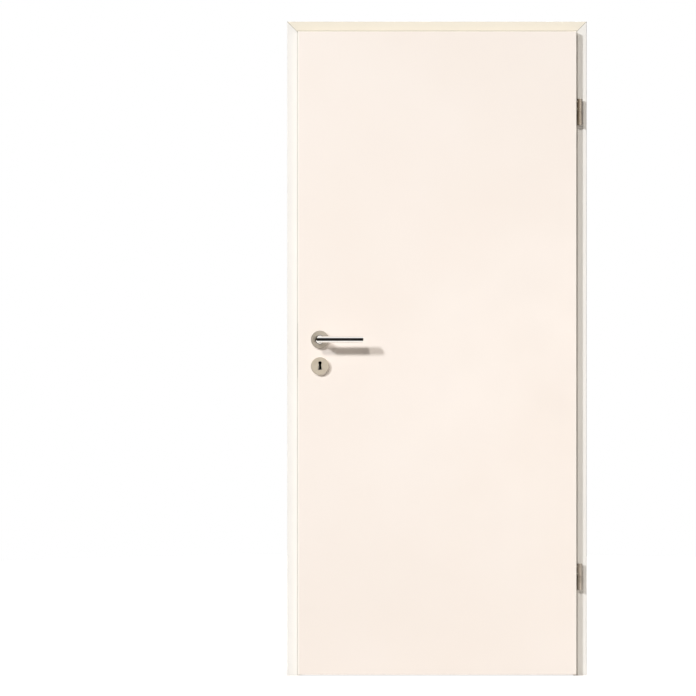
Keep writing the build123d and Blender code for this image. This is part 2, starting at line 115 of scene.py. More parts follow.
# Laminate on the frame and the leaf

def foilTone(tree, place, tones, values):
    # slow drift between two near tones
    cloud = addNode(tree, noiseNode, {"Vector": place, "Scale": 1 / values["cloud"], "Detail": 3.0})["Fac"]
    return addNode(tree, rampNode, {0: cloud}, stops=tuple(zip(cloudSpan, tones)))[0]


def satinOrBare(tree, place, bare, values):
    # roughness: the foil's own, a little uneven, and a dull one where the board is bare
    dull = addNode(tree, mathNode, {0: bare, 1: values["bareRoughness"]}, operation="MULTIPLY")[0]
    gloss = addNode(tree, noiseNode, {"Vector": place, "Scale": 1 / values["gloss"], "Detail": 4.0})["Fac"]
    start, end = noiseSpan
    low, high = values["roughness"]
    sheen = addNode(tree, rangeNode, {0: gloss, 1: start, 2: end, 3: low, 4: high})[0]
    return addNode(tree, mathNode, {0: sheen, 1: dull}, operation="MAXIMUM")[0]


def pressTexture(tree, place, values):
    # the fine grain that is pressed into the foil
    grain = addNode(tree, noiseNode, {"Vector": place, "Scale": 1 / values["grain"], "Detail": 3.0})["Fac"]
    return addNode(tree, bumpNode, {"Height": grain, "Distance": values["grainDepth"], "Strength": 1.0})[0]


frameFinish = {
    "sides": ("#F1EEE8", "#F4F1EB"),
    "head": ("#F0E8D6", "#F4ECDB"),
    "kraftPaper": ("#B3946A", "#C4A77E"),
    "chipboard": ("#CDB285", "#A98A5E"),
    "chipSpan": (0.1, 0.8),
    "roughness": (0.40, 0.48),
    "bareRoughness": 0.85,
    "cloud": 0.35,  # size of the slow drift in tone
    "gloss": 0.11,
    "fibres": (9 * mm, 9 * mm, 60 * mm),
    "chip": 3 * mm,
    "grain": 2.4 * mm,  # the real press texture is 0.4 mm, drawn coarse enough to show
    "grainDepth": 0.012 * mm,
    "mitreLine": (0.48 * mm, 1.2 * mm),  # the real joint is 0.2 mm, drawn wide enough to show
    "mitreShade": "#A09A8C",
    # x of the inner corners: the joint slopes one way on the hinge side and the other on the lock side
    "mitreX": {-1: -7 * mm, 1: -852 * mm},
    "mitreZ": 1982 * mm,
    "mitreDepth": 30 * mm,  # how far below the corners a joint line may run
    "wallMiddle": (-429.5 * mm, 0, 0),
    "wallHalf": (429.5 * mm, 70 * mm, 1989 * mm),  # from the middle to the wall's faces
    "skin": 0.3 * mm,  # faces this near the wall or the floor are the bare ones
    # painted shade line on the casing round the closed leaf, in place of the shade in the gap there
    "shadeLineMiddle": (-428.2 * mm, 0, 0),
    "shadeLineHalf": (431 * mm, 0, 1993 * mm),  # from the middle to just outside the closed leaf
    "shadeLineOffset": 1.5 * mm,  # middle of the painted shade line, out from there
    "shadeLineWidth": (1.0 * mm, 1.9 * mm),
    "shadeLineTone": "#8E8472",
    "shadeLineStrength": 0.33,
    "shadeLineBefore": -84 * mm,  # only on the casing's front face
}


def beyondOutline(tree, place, middle, half):
    # how far a point lies outside an outline seen from the front, and how far outside its depth
    offset = addNode(tree, vectorNode, {0: place, 1: middle}, operation="SUBTRACT")[0]
    folded = addNode(tree, vectorNode, {0: offset}, operation="ABSOLUTE")[0]
    beyond = addNode(tree, vectorNode, {0: folded, 1: half}, operation="SUBTRACT")[0]
    axes = addNode(tree, "ShaderNodeSeparateXYZ", {0: beyond})
    return addNode(tree, mathNode, {0: axes[0], 1: axes[2]}, operation="MAXIMUM")[0], axes[1]


def insideWall(tree, place, values):
    # 1 on the faces that the wall hides
    outside, depth = beyondOutline(tree, place, values["wallMiddle"], values["wallHalf"])
    depth = addNode(tree, mathNode, {0: depth, 1: -1.0}, operation="MULTIPLY")[0]
    both = addNode(tree, mathNode, {0: outside, 1: depth}, operation="MINIMUM")[0]
    return addNode(tree, mathNode, {0: both, 1: -values["skin"]}, operation="GREATER_THAN")[0]


def shadeLineMask(tree, place, depth, values):
    # painted shade: a faint dark line on the casing along the edge of the closed leaf, standing in for the
    # leaf's shadow and the shade in the gap
    outside = beyondOutline(tree, place, values["shadeLineMiddle"], values["shadeLineHalf"])[0]
    off = addNode(tree, mathNode, {0: outside, 1: values["shadeLineOffset"]}, operation="SUBTRACT")[0]
    off = addNode(tree, mathNode, {0: off}, operation="ABSOLUTE")[0]
    start, end = values["shadeLineWidth"]
    line = addNode(tree, rangeNode, {0: off, 1: start, 2: end, 3: values["shadeLineStrength"], 4: 0.0})[0]
    front = addNode(tree, mathNode, {0: depth, 1: values["shadeLineBefore"]}, operation="LESS_THAN")[0]
    return addNode(tree, mathNode, {0: line, 1: front}, operation="MULTIPLY")[0]


def mitreMask(tree, place, height, values):
    # 1 on the hairlines where two boards meet at 45 degrees
    gaps = []
    for slope, corner in values["mitreX"].items():
        along = addNode(tree, vectorNode, {0: place, 1: (1, 0, slope)}, operation="DOT_PRODUCT")["Value"]
        joint = corner + slope * values["mitreZ"]
        off = addNode(tree, mathNode, {0: along, 1: joint}, operation="SUBTRACT")[0]
        gaps.append(addNode(tree, mathNode, {0: off}, operation="ABSOLUTE")[0])
    gap = addNode(tree, mathNode, {0: gaps[0], 1: gaps[1]}, operation="MINIMUM")[0]
    start, end = values["mitreLine"]
    line = addNode(tree, rangeNode, {0: gap, 1: start, 2: end, 3: 1.0, 4: 0.0})[0]
    lowest = values["mitreZ"] - values["mitreDepth"]
    high = addNode(tree, mathNode, {0: height, 1: lowest}, operation="GREATER_THAN")[0]
    return addNode(tree, mathNode, {0: line, 1: high}, operation="MULTIPLY")[0]


def makeFrameFinish(name, tones, values):
    # CPL laminate on chipboard: a smooth satin foil with a fine press texture
    material, tree, shader, place = startMaterial(name)
    _, depth, height = addNode(tree, "ShaderNodeSeparateXYZ", {0: place})
    foil = foilTone(tree, place, tones, values)
    # painted shade along the closed leaf's edge, mixed into the foil
    shadeLine = shadeLineMask(tree, place, depth, values)
    shade = linearColour(values["shadeLineTone"])
    foil = addNode(tree, mixNode, {0: shadeLine, 6: foil, 7: shade}, data_type="RGBA")[2]
    line = mitreMask(tree, place, height, values)
    shade = linearColour(values["mitreShade"])
    foil = addNode(tree, mixNode, {0: line, 6: foil, 7: shade}, data_type="RGBA")[2]

    # kraft paper on the faces against the wall: brown, streaked along the board
    run = addNode(tree, mappingNode, {0: place, "Scale": perUnit(values["fibres"])})[0]
    fibres = addNode(tree, noiseNode, {"Vector": run, "Scale": 1.0, "Detail": 6.0, "Roughness": 0.7})["Fac"]
    paper = addNode(tree, rampNode, {0: fibres}, stops=tuple(zip(noiseSpan, values["kraftPaper"])))[0]
    hidden = insideWall(tree, place, values)
    colour = addNode(tree, mixNode, {0: hidden, 6: foil, 7: paper}, data_type="RGBA")[2]

    # sawn chipboard at the foot: flakes of mixed tone
    chips = addNode(tree, "ShaderNodeTexVoronoi", {"Vector": place, "Scale": 1 / values["chip"]})["Distance"]
    flakes = tuple(zip(values["chipSpan"], values["chipboard"]))
    board = addNode(tree, rampNode, {0: chips}, stops=flakes)[0]
    foot = addNode(tree, mathNode, {0: height, 1: values["skin"]}, operation="LESS_THAN")[0]
    colour = addNode(tree, mixNode, {0: foot, 6: colour, 7: board}, data_type="RGBA")[2]

    bare = addNode(tree, mathNode, {0: hidden, 1: foot}, operation="MAXIMUM")[0]
    rough = satinOrBare(tree, place, bare, values)
    bump = pressTexture(tree, place, values)
    fillSockets(tree, shader, {"Base Color": colour, "Roughness": rough, "Normal": bump})
    return material


leafFinish = {
    "tones": ("#FBF0E6", "#FDF3EA"),
    "edging": ("#F5E9DE", "#F8EDE3"),
    "lipHighlight": "#FFF8EE",  # painted highlight on the outer few millimetres of the sides, where the rounded lip catches the light
    "lipHighlightWidth": (3 * mm, 6 * mm),
    "lipHighlightStrength": 0.8,
    "rawBoard": ("#A5845A", "#BF9F72"),
    "roughness": (0.36, 0.44),
    "bareRoughness": 0.85,
    "cloud": 0.55,
    "gloss": 0.09,
    "fibres": (5 * mm, 2 * mm, 5 * mm),
    "grain": 2.2 * mm,  # real press texture 0.4 mm, drawn coarser so that it shows
    "grainDepth": 0.010 * mm,
    "sawnBelow": 5.3 * mm,
}


def makeLeafFinish(name, tones, values):
    # CPL laminate on thin fibreboard: warm white, satin, with a slow drift in tone
    material, tree, shader, place = startMaterial(name)
    axes = addNode(tree, "ShaderNodeSeparateXYZ", {0: place})
    foil = foilTone(tree, place, tones, values)
    offset = addNode(tree, mathNode, {0: axes[0], 1: door["leafMiddleX"]}, operation="SUBTRACT")[0]
    across = addNode(tree, mathNode, {0: offset}, operation="ABSOLUTE")[0]
    # painted highlight along the leaf's left and right edges
    start, end = [door["leafHalfWidth"] - width for width in values["lipHighlightWidth"]]
    lipHighlight = addNode(tree, rangeNode, {0: across, 1: end, 2: start, 3: 0.0, 4: values["lipHighlightStrength"]})[0]
    bright = linearColour(values["lipHighlight"])
    foil = addNode(tree, mixNode, {0: lipHighlight, 6: foil, 7: bright}, data_type="RGBA")[2]

    # sawn fibreboard along the bottom edge
    run = addNode(tree, mappingNode, {0: place, "Scale": perUnit(values["fibres"])})[0]
    fibres = addNode(tree, noiseNode, {"Vector": run, "Scale": 1.0, "Detail": 5.0, "Roughness": 0.7})["Fac"]
    board = addNode(tree, rampNode, {0: fibres}, stops=tuple(zip(noiseSpan, values["rawBoard"])))[0]
    sawn = addNode(tree, mathNode, {0: axes[2], 1: values["sawnBelow"]}, operation="LESS_THAN")[0]
    colour = addNode(tree, mixNode, {0: sawn, 6: foil, 7: board}, data_type="RGBA")[2]

    rough = satinOrBare(tree, place, sawn, values)
    bump = pressTexture(tree, place, values)
    fillSockets(tree, shader, {"Base Color": colour, "Roughness": rough, "Normal": bump})
    return material


# Inside of the leaf

spruce = {
    "tones": ("#D9B884", "#B98E58"),  # early wood, late wood
    "toneSpan": (0.2, 0.8),
    "rings": (5 * mm, 5 * mm, 70 * mm),
    "ringScale": 0.32,  # one wave to each pattern unit
    "ringWobble": 3.0,
    "fibres": (1.2 * mm, 1.2 * mm, 30 * mm),
    "fibreShare": 0.4,
    "roughness": (0.62, 0.78),
    "grainDepth": 0.08 * mm,
}


def makeTimber(name, values):
    # planed spruce: pale with darker growth rings along the bar
    material, tree, shader, place = startMaterial(name)
    ringPlace = addNode(tree, mappingNode, {0: place, "Scale": perUnit(values["rings"])})[0]
    rings = addNode(tree, "ShaderNodeTexWave", {
        "Vector": ringPlace, "Scale": values["ringScale"], "Distortion": values["ringWobble"],
        "Detail": 3.0, "Detail Scale": 0.6,
    }, bands_direction="X")["Fac"]
    fibrePlace = addNode(tree, mappingNode, {0: place, "Scale": perUnit(values["fibres"])})[0]
    fibre = addNode(tree, noiseNode, {
        "Vector": fibrePlace, "Scale": 1.0, "Detail": 4.0, "Roughness": 0.65,
    })["Fac"]
    mixed = addNode(tree, mixNode, {0: values["fibreShare"], 2: rings, 3: fibre}, data_type="FLOAT")[0]
    colour = addNode(tree, rampNode, {0: mixed}, stops=tuple(zip(values["toneSpan"], values["tones"])))[0]
    start, end = values["toneSpan"]
    low, high = values["roughness"]
    rough = addNode(tree, rangeNode, {0: fibre, 1: start, 2: end, 3: low, 4: high})[0]
    bump = addNode(tree, bumpNode, {"Height": mixed, "Distance": values["grainDepth"], "Strength": 1.0})[0]
    fillSockets(tree, shader, {"Base Color": colour, "Roughness": rough, "Normal": bump})
    return material


chipboardCore = {
    "tones": ("#C9A878", "#A27F50", "#DCC297"),
    "toneSpan": (0.15, 0.5, 0.9),
    "chip": (3.5 * mm, 3.5 * mm, 7 * mm),
    "roughness": (0.75, 0.92),
    "gapDepth": 0.25 * mm,
}


def makeChipboard(name, values):
    # extruded chipboard: pressed chips of mixed tone with open gaps between them
    material, tree, shader, place = startMaterial(name)
    spread = addNode(tree, mappingNode, {0: place, "Scale": perUnit(values["chip"])})[0]
    cells = addNode(tree, "ShaderNodeTexVoronoi", {"Vector": spread, "Scale": 1.0, "Randomness": 1.0})
    tone = addNode(tree, "ShaderNodeSeparateColor", {0: cells["Color"]})[0]
    colour = addNode(tree, rampNode, {0: tone}, stops=tuple(zip(values["toneSpan"], values["tones"])))[0]
    low, high = values["roughness"]
    rough = addNode(tree, rangeNode, {0: tone, 1: 0.0, 2: 1.0, 3: low, 4: high})[0]
    bump = addNode(tree, bumpNode, {
        "Height": cells["Distance"], "Distance": values["gapDepth"], "Strength": 1.0,
    })[0]
    fillSockets(tree, shader, {"Base Color": colour, "Roughness": rough, "Normal": bump})
    return material


# Rubber and plastics

polymers = {
    # extruded TPE seal: matt pale rubber with faint lines along its run
    "tpeSeal": {
        "tones": ("#DAD5CB", "#E4E0D7"), "roughness": (0.62, 0.74), "bloom": 18 * mm,
        "lines": (0.9 * mm, 0.9 * mm, 60 * mm), "lineDepth": 0.03 * mm,
    },
    # moulded grey polyamide: the dull bearing ring in a hinge
    "greyPolyamide": {
        "tones": ("#2C2926", "#37332F"), "roughness": (0.50, 0.62), "bloom": 6 * mm,
        "lines": (2 * mm, 2 * mm, 0.5 * mm), "lineDepth": 0.01 * mm,
    },
    # moulded black nylon: near black with a soft sheen; the near black also paints the shade in the roses'
    # recesses and in the keyholes
    "blackNylonAndShade": {
        "tones": ("#0B0A0A", "#141312"), "roughness": (0.48, 0.60), "bloom": 5 * mm,
        "lines": (1 * mm, 1 * mm, 1 * mm), "lineDepth": 0.01 * mm,
    },
}


def makePolymer(name, values):
    material, tree, shader, place = startMaterial(name)
    bloom = addNode(tree, noiseNode, {"Vector": place, "Scale": 1 / values["bloom"], "Detail": 4.0})["Fac"]
    colour = addNode(tree, rampNode, {0: bloom}, stops=tuple(zip(noiseSpan, values["tones"])))[0]
    start, end = noiseSpan
    low, high = values["roughness"]
    rough = addNode(tree, rangeNode, {0: bloom, 1: start, 2: end, 3: low, 4: high})[0]
    run = addNode(tree, mappingNode, {0: place, "Scale": perUnit(values["lines"])})[0]
    lines = addNode(tree, noiseNode, {"Vector": run, "Scale": 1.0, "Detail": 2.0})["Fac"]
    bump = addNode(tree, bumpNode, {"Height": lines, "Distance": values["lineDepth"], "Strength": 1.0})[0]
    fillSockets(tree, shader, {"Base Color": colour, "Roughness": rough, "Normal": bump})
    return material


# Metals

metals = {
    # polished chrome plate on brass: near mirror, faint wiping marks
    "polishedChrome": {
        "tones": ("#F2F0EC", "#F8F6F3"), "roughness": (0.03, 0.06),
        "grain": (14 * mm, 2 * mm, 2 * mm), "grainDepth": 0.002 * mm,
    },
    # satin nickel plate on turned steel: warm grey, soft streaks round the barrel
    "satinNickelPlate": {
        "tones": ("#ABA297", "#B9B0A5"), "roughness": (0.32, 0.42),
        "grain": (6 * mm, 6 * mm, 0.8 * mm), "grainDepth": 0.003 * mm,
    },
    # drawn bright steel: lines along the pin
    "brightDrawnSteel": {
        "tones": ("#B9B9B8", "#C9C9C8"), "roughness": (0.22, 0.30),
        "grain": (1 * mm, 1 * mm, 20 * mm), "grainDepth": 0.005 * mm,
    },
    # brushed stainless steel: long strokes down the plate
    "brushedStainless": {
        "tones": ("#C4C1BB", "#D2CFCA"), "roughness": (0.28, 0.38),
        "grain": (0.7 * mm, 0.7 * mm, 30 * mm), "grainDepth": 0.008 * mm,
    },
    # nickel-plated zinc casting: smooth, slightly cloudy
    "nickelPlatedZinc": {
        "tones": ("#BEBAB2", "#CCC8C1"), "roughness": (0.26, 0.36),
        "grain": (3 * mm, 3 * mm, 3 * mm), "grainDepth": 0.006 * mm,
    },
    # oiled spring steel, painted nearly black for the shade inside the lock
    "lockSteelPaintedShade": {
        "tones": ("#141210", "#1F1C19"), "roughness": (0.45, 0.60),
        "grain": (2 * mm, 2 * mm, 8 * mm), "grainDepth": 0.010 * mm,
    },
    # zinc-plated steel: dull, mottled
    "zincPlatedSteel": {
        "tones": ("#A3A6A6", "#B8BABA"), "roughness": (0.38, 0.52),
        "grain": (7 * mm, 7 * mm, 7 * mm), "grainDepth": 0.010 * mm,
    },
}
smudge = 25 * mm  # size of the soft marks in a metal's gloss
strokeShare = 0.4  # how far its gloss follows the strokes, and not the marks


def makeMetal(name, values):
    material, tree, shader, place = startMaterial(name)
    cloud = addNode(tree, noiseNode, {
        "Vector": place, "Scale": 1 / smudge, "Detail": 4.0, "Roughness": 0.6,
    })["Fac"]
    colour = addNode(tree, rampNode, {0: cloud}, stops=tuple(zip(noiseSpan, values["tones"])))[0]
    run = addNode(tree, mappingNode, {0: place, "Scale": perUnit(values["grain"])})[0]
    strokes = addNode(tree, noiseNode, {"Vector": run, "Scale": 1.0, "Detail": 3.0, "Roughness": 0.6})["Fac"]
    gloss = addNode(tree, mixNode, {0: strokeShare, 2: cloud, 3: strokes}, data_type="FLOAT")[0]
    start, end = noiseSpan
    low, high = values["roughness"]
    rough = addNode(tree, rangeNode, {0: gloss, 1: start, 2: end, 3: low, 4: high})[0]
    bump = addNode(tree, bumpNode, {"Height": strokes, "Distance": values["grainDepth"], "Strength": 1.0})[0]
    fillSockets(tree, shader, {"Base Color": colour, "Metallic": 1.0, "Roughness": rough, "Normal": bump})
    return material


turnedNickel = {
    "leverTones": ("#ACA59B", "#BAB4AA"),
    # painted light: the key rose gets lighter tones than the lever rose, though both are the same satin
    # nickel
    "keyTonesPaintedLighter": ("#C1B9AC", "#CFC8BB"),
    "roughness": (0.48, 0.60),
    "cloud": 14 * mm,
    "groove": 0.5 * mm,  # real brush lines are 0.05 mm, drawn coarse enough to show
    "grooveDepth": 0.006 * mm,
    "grooveShare": 0.5,
}


def makeTurnedNickel(name, tones, centreZ, values):
    # satin nickel, brushed on a lathe: fine rings round the middle of the rose
    material, tree, shader, place = startMaterial(name)
    middle = (door["roseX"], 0, centreZ)
    offset = addNode(tree, vectorNode, {0: place, 1: middle}, operation="SUBTRACT")[0]
    flat = addNode(tree, vectorNode, {0: offset, 1: (1, 0, 1)}, operation="MULTIPLY")[0]
    radius = addNode(tree, vectorNode, {0: flat}, operation="LENGTH")["Value"]
    grooves = addNode(tree, mathNode, {0: radius, 1: values["groove"]}, operation="DIVIDE")[0]
    ringPlace = addNode(tree, "ShaderNodeCombineXYZ", {0: grooves})[0]
    rings = addNode(tree, noiseNode, {
        "Vector": ringPlace, "Scale": 1.0, "Detail": 3.0, "Roughness": 0.6,
    })["Fac"]
    cloud = addNode(tree, noiseNode, {"Vector": place, "Scale": 1 / values["cloud"], "Detail": 4.0})["Fac"]
    colour = addNode(tree, rampNode, {0: cloud}, stops=tuple(zip(noiseSpan, tones)))[0]
    gloss = addNode(tree, mixNode, {0: values["grooveShare"], 2: cloud, 3: rings}, data_type="FLOAT")[0]
    start, end = noiseSpan
    low, high = values["roughness"]
    rough = addNode(tree, rangeNode, {0: gloss, 1: start, 2: end, 3: low, 4: high})[0]
    bump = addNode(tree, bumpNode, {"Height": rings, "Distance": values["grooveDepth"], "Strength": 1.0})[0]
    fillSockets(tree, shader, {"Base Color": colour, "Metallic": 1.0, "Roughness": rough, "Normal": bump})
    return material


finishes = {name: makeMetal(name, values) for name, values in metals.items()}
for name, values in polymers.items():
    finishes[name] = makePolymer(name, values)
finishes["cplFrame"] = makeFrameFinish("cplFrame", frameFinish["sides"], frameFinish)
finishes["cplFrameHead"] = makeFrameFinish("cplFrameHead", frameFinish["head"], frameFinish)
finishes["cplLeaf"] = makeLeafFinish("cplLeaf", leafFinish["tones"], leafFinish)
finishes["absEdging"] = makeLeafFinish("absEdging", leafFinish["edging"], leafFinish)
finishes["planedSpruce"] = makeTimber("planedSpruce", spruce)
finishes["extrudedChipboard"] = makeChipboard("extrudedChipboard", chipboardCore)
for name, tones, centre in (
    ("turnedNickelLever", "leverTones", "leverZ"),
    ("turnedNickelKey", "keyTonesPaintedLighter", "keyZ"),
):
    finishes[name] = makeTurnedNickel(name, turnedNickel[tones], door[centre], turnedNickel)

# start of the node's name, and its finish; the first that fits is taken
nodeFinishes = (
    ("architrave_head", "cplFrameHead"),
    ("architrave", "cplFrame"),
    ("rear_architrave", "cplFrame"),
    ("lining", "cplFrame"),
    ("seal", "tpeSeal"),
    ("leaf_front_skin", "cplLeaf"),
    ("leaf_rear_skin", "cplLeaf"),
    ("leaf_edge_band", "absEdging"),
    ("leaf_core", "extrudedChipboard"),
    ("leaf_", "planedSpruce"),
    ("upper_hinge_pin", "brightDrawnSteel"),
    ("lower_hinge_pin", "brightDrawnSteel"),
    ("upper_hinge", "satinNickelPlate"),
    ("lower_hinge", "satinNickelPlate"),
    ("strike_plate", "brushedStainless"),
    ("lock_forend", "brushedStainless"),
    ("lock_case", "zincPlatedSteel"),
    ("latch_bolt", "nickelPlatedZinc"),
    ("dead_bolt", "nickelPlatedZinc"),
    ("front_lever_rose", "turnedNickelLever"),
    ("rear_lever_rose", "turnedNickelLever"),
    ("front_key_rose", "turnedNickelKey"),
    ("rear_key_rose", "turnedNickelKey"),
    ("front_lever", "polishedChrome"),
    ("rear_lever", "polishedChrome"),
    ("spindle", "zincPlatedSteel"),
)
for nodeName, node in nodes.items():
    finishName = next(finish for start, finish in nodeFinishes if nodeName.startswith(start))
    for slot in node.material_slots:
        slot.material = finishes[finishName]
print("finishes made:", len(finishes))


# Small pieces that the solids leave out

sharpAngle = math.radians(32)  # edges turned more than this stay crisp
weld = 1e-7  # corners nearer than this become one


def finishPiece(mesh, name, finishName, body, move):
    # writes the bmesh to an object that sits at the origin, and says what carries it; seams stay crisp
    bmesh.ops.transform(mesh, matrix=move, verts=mesh.verts)
    bmesh.ops.remove_doubles(mesh, verts=mesh.verts, dist=weld)
    bmesh.ops.recalc_face_normals(mesh, faces=mesh.faces)
    for face in mesh.faces:
        face.smooth = True
    for edge in mesh.edges:
        edge.smooth = not edge.seam and edge.calc_face_angle(math.pi) < sharpAngle
    data = bpy.data.meshes.new(name)
    mesh.to_mesh(data)
    mesh.free()
    piece = bpy.data.objects.new(name, data)
    bpy.context.scene.collection.objects.link(piece)
    data.materials.append(finishes[finishName])
    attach(piece, body)
    return piece


def ringShape(values):
    # a flat ring round z, standing on the ground, with its outer and upper edges broken
    inner, outer = values["innerRadius"], values["outerRadius"]
    high, edge = values["thickness"], values["edge"]
    outline = ((inner, 0), (outer - edge, 0), (outer, edge), (outer, high - edge),
               (outer - edge, high), (inner + edge, high), (inner, high - edge))
    mesh = bmesh.new()
    corners = [mesh.verts.new((radius, 0, height)) for radius, height in outline]
    sides = [mesh.edges.new((corner, corners[number - 1])) for number, corner in enumerate(corners)]
    bmesh.ops.spin(mesh, geom=corners + sides, cent=(0, 0, 0), axis=(0, 0, 1), dvec=(0, 0, 0),
                   angle=math.tau, steps=values["segments"], use_merge=True, use_duplicate=False)
    return mesh


rimRounding = {
    "width": 1.0 * mm,
    "segments": 3,
    "flatAngle": math.radians(1),
    "weld": 0.001 * mm,
    "near": 0.05 * mm,  # how exactly a corner of the rim is found
    # axis that the rim runs round, its place across that axis, the rim's radius, finish and slot
    "rounds": {
        "leverRose": (1, (door["roseX"], door["leverZ"]), 27.5 * mm, "turnedNickelLever", "rose_nickel"),
        "keyRose": (1, (door["roseX"], door["keyZ"]), 27.5 * mm, "turnedNickelKey", "rose_nickel"),
        "barrel": (2, door["hingeAxis"], 8 * mm, "satinNickelPlate", "hinge_nickel"),
    },
    # solid: new piece, which round it is, place of the rim along the axis, and body
    "parts": {
        "front_lever_rose": ("frontLeverRosePlate", "leverRose", -115 * mm, "leaf"),
        "rear_lever_rose": ("rearLeverRosePlate", "leverRose", -57 * mm, "leaf"),
        "front_key_rose": ("frontKeyRosePlate", "keyRose", -115 * mm, "leaf"),
        "rear_key_rose": ("rearKeyRosePlate", "keyRose", -57 * mm, "leaf"),
        "upper_hinge_leaf_part": ("upperHingeTop", "barrel", 1782 * mm, "leaf"),
        "upper_hinge_frame_part": ("upperHingeFoot", "barrel", 1701 * mm, "frame"),
        "lower_hinge_leaf_part": ("lowerHingeTop", "barrel", 347 * mm, "leaf"),
        "lower_hinge_frame_part": ("lowerHingeFoot", "barrel", 266 * mm, "frame"),
    },
}


def onRim(corner, axis, centre, radius, along, near):
    # whether a corner lies on the circle that the rim runs along
    across = [corner[number] for number in range(3) if number != axis]
    out = math.dist(across, centre)
    return abs(corner[axis] - along) < near and abs(out - radius) < near


def makeRoundedRims(values):
    # copies of the roses and hinge barrels with a rounded outer rim, which stand in for the solids
    near = values["near"]
    for solid, (name, shape, along, body) in values["parts"].items():
        axis, centre, radius, finishName, slotName = values["rounds"][shape]
        mesh = bmesh.new()
        mesh.from_mesh(nodes[solid].data)
        bmesh.ops.remove_doubles(mesh, verts=mesh.verts, dist=values["weld"])
        bmesh.ops.dissolve_limit(mesh, angle_limit=values["flatAngle"], verts=mesh.verts, edges=mesh.edges)
        rim = [edge for edge in mesh.edges
               if all(onRim(corner.co, axis, centre, radius, along, near) for corner in edge.verts)]
        strips = set(bmesh.ops.bevel(mesh, geom=rim, offset=values["width"], segments=values["segments"],
                                     profile=0.5, affect="EDGES", material=-1)["faces"])
        for edge in mesh.edges:
            edge.seam = len({face in strips for face in edge.link_faces}) == 2
        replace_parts(finishPiece(mesh, name, finishName, body, Matrix()), solid)
    print("rims rounded:", len(values["parts"]))


hingeWasher = {
    "innerRadius": 4.2 * mm,
    "outerRadius": 7.2 * mm,
    "thickness": 0.8 * mm,
    "edge": 0.15 * mm,
    "segments": 40,
    "splits": {"upperHingeWasher": 1741.5 * mm, "lowerHingeWasher": 306.5 * mm},  # z of each split line
}


def makeHingeWashers(values):
    # bearing ring between the two halves of each hinge
    for name, height in values["splits"].items():
        move = Matrix.Translation((*door["hingeAxis"], height - values["thickness"] / 2))
        finishPiece(ringShape(values), name, "greyPolyamide", "frame", move)


guideBush = {
    "innerRadius": 12.6 * mm,
    "outerRadius": 13.95 * mm,
    "thickness": 1.2 * mm,
    "edge": 0.2 * mm,
    "segments": 56,
    # y of the recess's floor, and the way it faces
    "floors": {"frontGuideBush": (-111.5 * mm, -1), "rearGuideBush": (-60.5 * mm, 1)},
}


def makeGuideBushes(values):
    # ring in the recess of each rose that guides the lever's collar; its near black also paints the shade in
    # the recess
    for name, (floorY, outward) in values["floors"].items():
        turn = Matrix.Rotation(math.radians(-90 * outward), 4, "X")
        move = Matrix.Translation((door["roseX"], floorY, door["leverZ"])) @ turn
        finishPiece(ringShape(values), name, "blackNylonAndShade", "leaf", move)


screw = {
    "rimRadius": 3.8 * mm,
    "topRadius": 2.7 * mm,
    "proud": 1.1 * mm,
    "crossReach": 1.9 * mm,
    "crossWidth": 1.0 * mm,
    "crossDepth": 0.7 * mm,
    "crossTaper": 0.7,
    "crossNotch": 0.01,  # least sine that is divided by, so that no corner runs away
    "segments": 32,
    # body, centre and the way it faces
    "places": {
        "forendScrewUpper": ("leaf", (-846 * mm, -78.5 * mm, 1106 * mm), (-1, 0, 0)),
        "forendScrewLower": ("leaf", (-846 * mm, -78.5 * mm, 903 * mm), (-1, 0, 0)),
        "strikeScrewUpper": ("frame", (-852 * mm, -74.5 * mm, 1074 * mm), (1, 0, 0)),
        "strikeScrewMiddle": ("frame", (-852 * mm, -74.5 * mm, 1004.5 * mm), (1, 0, 0)),
        "strikeScrewLower": ("frame", (-852 * mm, -74.5 * mm, 934 * mm), (1, 0, 0)),
    },
}


def crossCorner(corner, values):
    # moves a corner of the recess in to the outline of the cross
    angle = math.atan2(corner.co.y, corner.co.x)
    side = max(min(abs(math.sin(angle)), abs(math.cos(angle))), values["crossNotch"])
    reach = min(values["crossReach"], values["crossWidth"] / 2 / side)
    corner.co.xy = Vector((math.cos(angle), math.sin(angle))) * reach


def makeScrews(values):
    # raised countersunk heads with a cross recess
    for name, (body, centre, facing) in values["places"].items():
        mesh = bmesh.new()
        bmesh.ops.create_circle(mesh, cap_ends=True, radius=values["topRadius"], segments=values["segments"])
        top = mesh.faces[:]
        rim = mesh.edges[:]
        bmesh.ops.inset_region(mesh, faces=top, thickness=values["topRadius"] - values["crossReach"])
        for corner in top[0].verts:
            crossCorner(corner, values)
        floor = bmesh.ops.extrude_discrete_faces(mesh, faces=top)["faces"][0]
        bmesh.ops.translate(mesh, vec=(0, 0, -values["crossDepth"]), verts=floor.verts)
        bmesh.ops.scale(mesh, vec=(values["crossTaper"], values["crossTaper"], 1), verts=floor.verts)
        skirt = bmesh.ops.extrude_edge_only(mesh, edges=rim)["geom"]
        foot = [item for item in skirt if isinstance(item, bmesh.types.BMVert)]
        spread = values["rimRadius"] / values["topRadius"]
        bmesh.ops.scale(mesh, vec=(spread, spread, 1), verts=foot)
        bmesh.ops.translate(mesh, vec=(0, 0, -values["proud"]), verts=foot)
        bmesh.ops.contextual_create(mesh, geom=foot)
        turn = Vector((0, 0, 1)).rotation_difference(Vector(facing)).to_matrix().to_4x4()
        move = Matrix.Translation(Vector(centre) + Vector(facing) * values["proud"]) @ turn
        finishPiece(mesh, name, "brightDrawnSteel", body, move)


keyGuide = {
    "width": 23.4 * mm,
    "height": 41.4 * mm,
    "wall": 1.0 * mm,
    "slotWidth": 7.0 * mm,
    "slotHeight": 26 * mm,
    # y of the open end, way in, and length
    "mouths": {"frontKeyGuide": (-105.8 * mm, 1, 19 * mm), "rearKeyGuide": (-66.2 * mm, -1, 4.2 * mm)},
}


